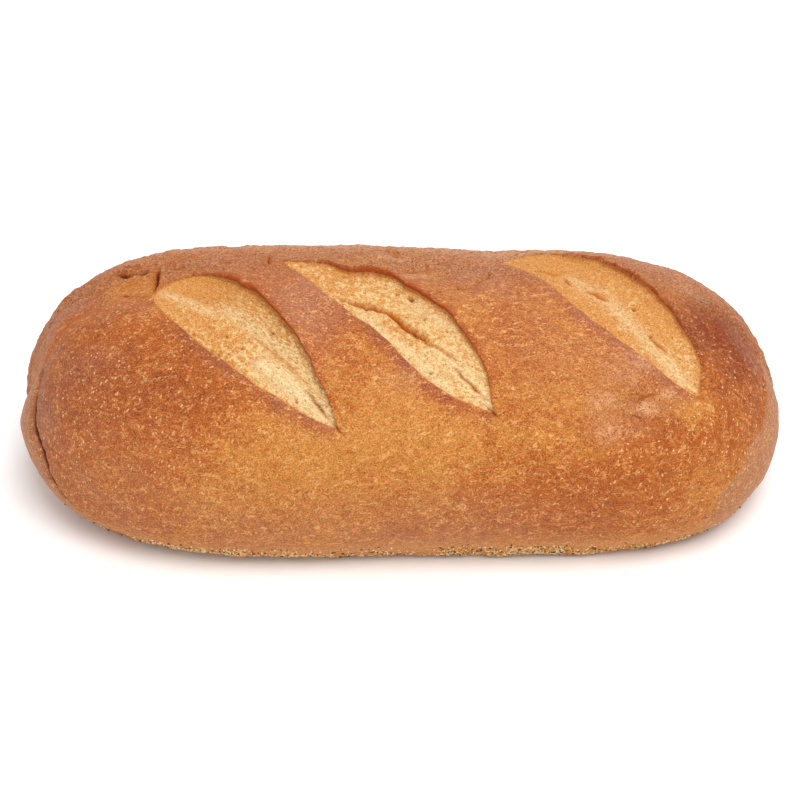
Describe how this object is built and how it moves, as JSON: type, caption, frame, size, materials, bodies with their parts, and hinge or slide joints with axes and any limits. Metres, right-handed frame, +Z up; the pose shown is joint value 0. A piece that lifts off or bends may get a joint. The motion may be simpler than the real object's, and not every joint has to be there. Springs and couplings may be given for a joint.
{
  "type": "unseeded rye bread",
  "caption": "Whole oval hearth loaf with a rounded crown, a flat base and long diagonal slashes with raised ears across its top.",
  "frame": {"origin": "centre of the loaf's box at its flat base", "axes": "+X along the loaf, -Y towards the side with the slashes' low tips, +Z up"},
  "size_m": [0.2802, 0.1284, 0.0858],
  "materials": {
    "crust": "satin orange-brown baked crust with fine pale blisters, pale cream-gold crumb in the slashes, pale meal at the base"
  },
  "bodies": {
    "root": {"loaf": "crust"}
  },
  "joints": []
}
